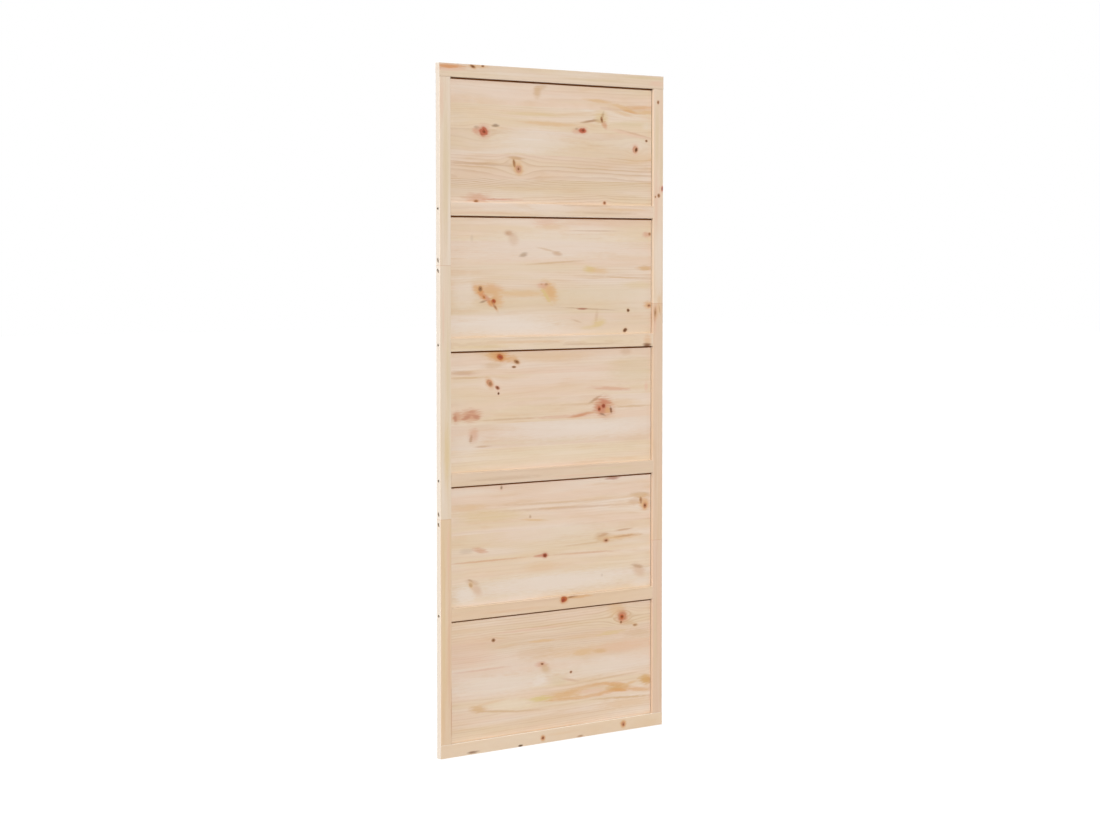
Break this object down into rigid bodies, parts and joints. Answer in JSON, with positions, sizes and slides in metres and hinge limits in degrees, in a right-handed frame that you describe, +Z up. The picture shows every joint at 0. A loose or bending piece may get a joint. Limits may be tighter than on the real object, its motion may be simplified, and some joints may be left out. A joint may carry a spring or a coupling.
{
  "type": "barn door leaf",
  "caption": "Sliding barn door leaf in knotty pine: a slim rebated frame of rails and sectioned stiles around recessed flat panels with horizontal grain.",
  "frame": {"origin": "middle of the top edge of the leaf, halfway through its thickness", "axes": "+Z up, front of the leaf towards -Y, +X to the right of someone looking at the front"},
  "size_m": [0.9, 0.018, 2.045],
  "materials": {
    "top_rail": "matt, unfinished",
    "bottom_rail": "matt, unfinished",
    "cross_rail_1": "matt, unfinished",
    "cross_rail_2": "matt, unfinished",
    "cross_rail_3": "matt, unfinished",
    "cross_rail_4": "matt, unfinished",
    "left_stile_top": "matt, unfinished",
    "left_stile_middle": "matt, unfinished",
    "left_stile_bottom": "matt, unfinished",
    "right_stile_top": "matt, unfinished",
    "right_stile_middle": "matt, unfinished",
    "right_stile_bottom": "matt, unfinished",
    "panel_1": "matt, unfinished",
    "panel_2": "matt, unfinished",
    "panel_3": "matt, unfinished",
    "panel_4": "matt, unfinished",
    "panel_5": "matt, unfinished",
    "screw_steel": "zinc plated"
  },
  "bodies": {
    "root": {"top_rail": "top_rail", "bottom_rail": "bottom_rail", "cross_rail_1": "cross_rail_1", "cross_rail_2": "cross_rail_2", "cross_rail_3": "cross_rail_3", "cross_rail_4": "cross_rail_4", "left_stile_top": "left_stile_top", "left_stile_middle": "left_stile_middle", "left_stile_bottom": "left_stile_bottom", "right_stile_top": "right_stile_top", "right_stile_middle": "right_stile_middle", "right_stile_bottom": "right_stile_bottom", "panel_1": "panel_1", "panel_2": "panel_2", "panel_3": "panel_3", "panel_4": "panel_4", "panel_5": "panel_5"}
  },
  "joints": []
}
